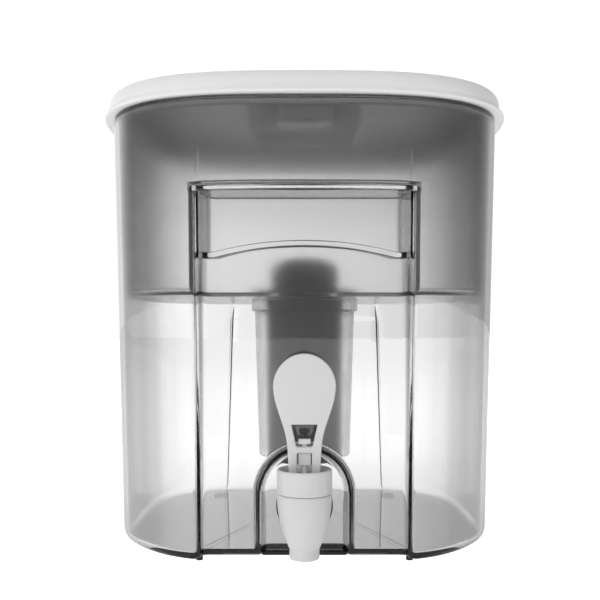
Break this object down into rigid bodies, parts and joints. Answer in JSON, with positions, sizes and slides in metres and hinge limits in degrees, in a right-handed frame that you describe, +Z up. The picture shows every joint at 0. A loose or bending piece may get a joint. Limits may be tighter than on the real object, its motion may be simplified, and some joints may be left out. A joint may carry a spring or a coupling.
{
  "type": "countertop water dispenser",
  "caption": "Countertop filtering water dispenser: clear tank with a glass niche and lever spigot, grey reservoir holding a filter cartridge, white lid with a fill door.",
  "frame": {"origin": "centre of the bounding box seen from above, on the counter under the feet", "axes": "+Z up, front with the spigot towards -Y, +X to the right seen from the front"},
  "size_m": [0.2528, 0.2328, 0.2716],
  "materials": {
    "clear_plastic": "clear gloss",
    "smoke_plastic": "frosted translucent",
    "white_plastic": "satin",
    "spigot_plastic": "satin",
    "cartridge_plastic": "matt",
    "black_rubber": "matt",
    "silicone": "satin",
    "filter_carbon": "granular",
    "screen_mesh": "woven mesh",
    "spring_steel": "bright"
  },
  "bodies": {
    "dispenser_base": {"tank": "clear_plastic", "foot_front_left": "black_rubber", "foot_front_right": "black_rubber", "foot_rear_left": "black_rubber", "foot_rear_right": "black_rubber", "front_foot_strip": "black_rubber", "spigot_body": "spigot_plastic", "spigot_bonnet": "spigot_plastic", "spring_retainer": "spigot_plastic", "outer_washer": "black_rubber", "inner_washer": "black_rubber", "lock_nut": "spigot_plastic"},
    "reservoir": {"reservoir": "smoke_plastic"},
    "filter": {"filter_body": "cartridge_plastic", "filter_cap": "cartridge_plastic", "filter_media": "filter_carbon", "filter_screen": "screen_mesh", "filter_seal": "black_rubber"},
    "lid": {"lid": "white_plastic", "hinge_pin": "spring_steel"},
    "fill_door": {"fill_door": "white_plastic"},
    "lever": {"spigot_lever": "spigot_plastic"},
    "valve": {"valve_stem": "spigot_plastic", "seat_cup": "silicone", "return_spring": "spring_steel"}
  },
  "joints": [
    {"name": "reservoir_lift", "type": "slide", "parent": "dispenser_base", "child": "reservoir", "axis": [0, 0, 1], "range_m": [0, 0.22]},
    {"name": "filter_lift", "type": "slide", "parent": "reservoir", "child": "filter", "axis": [0, 0, 1], "range_m": [0, 0.08]},
    {"name": "lid_lift", "type": "slide", "parent": "reservoir", "child": "lid", "axis": [0, 0, 1], "range_m": [0, 0.08]},
    {"name": "door_hinge", "type": "hinge", "parent": "lid", "child": "fill_door", "pos_m": [0, -0.00746, 0.2672], "axis": [-1, 0, 0], "range_deg": [0, 95]},
    {"name": "lever_pull", "type": "hinge", "parent": "dispenser_base", "child": "lever", "pos_m": [0, -0.10146, 0.048], "axis": [1, 0, 0], "range_deg": [0, 28], "stiffness_Nm_per_rad": 0.4},
    {"name": "stem_lift", "type": "slide", "parent": "dispenser_base", "child": "valve", "axis": [0, 0, 1], "range_m": [0, 0.0036], "deforming": ["return_spring"]}
  ],
  "couplings": [
    {"joint": "stem_lift", "follows": "lever_pull", "m_per_rad": 0.00716}
  ]
}
